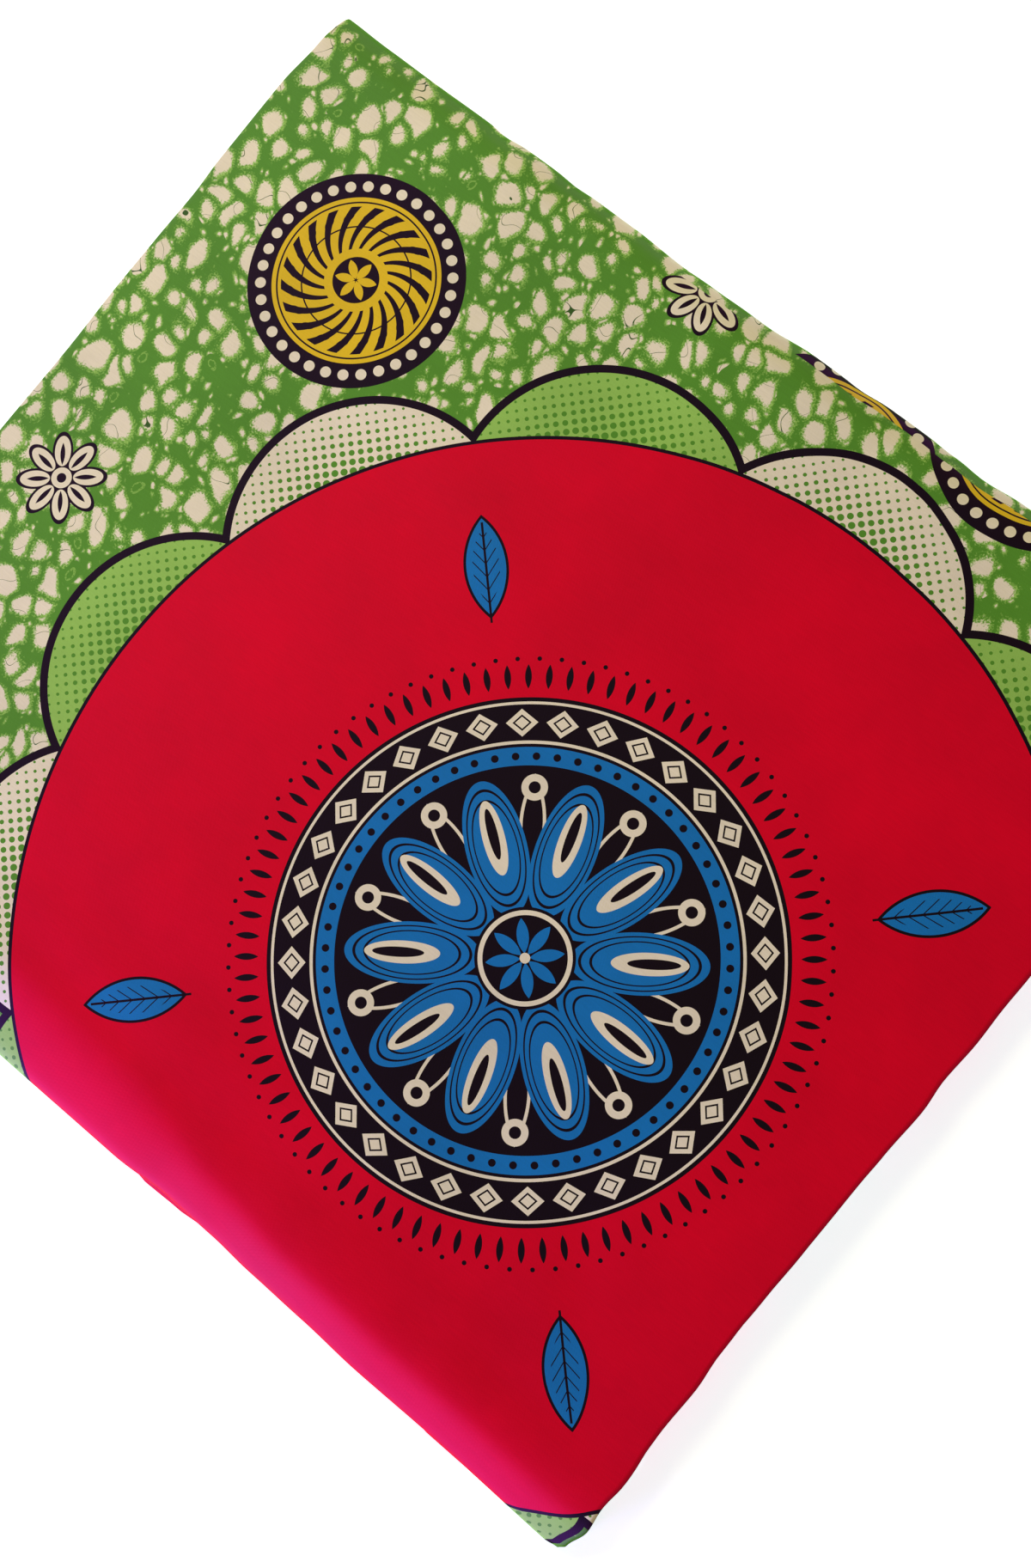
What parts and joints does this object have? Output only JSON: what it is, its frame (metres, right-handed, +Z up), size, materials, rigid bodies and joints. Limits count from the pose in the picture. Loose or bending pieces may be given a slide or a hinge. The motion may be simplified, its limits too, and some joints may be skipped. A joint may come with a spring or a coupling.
{
  "type": "folded wax print fabric",
  "caption": "Length of printed cotton folded selvage to selvage and turned over and over into a flat, nearly square bundle with rolled folds front and back.",
  "frame": {"origin": "middle of the flat underside of the bundle", "axes": "+Z up; +X across the cloth, from the pressed centre fold to the selvages; +Y along the cloth, from the front fold to the back fold"},
  "size_m": [0.5834, 0.534, 0.0167],
  "materials": {
    "print_top": "smooth printed cotton, slight sheen",
    "print_under": "smooth printed cotton, slight sheen",
    "print_turns": "edges of many printed cotton plies"
  },
  "bodies": {
    "root": {"top_stretch": "print_top", "under_stretch": "print_under", "hidden_turns": "print_turns"}
  },
  "joints": []
}
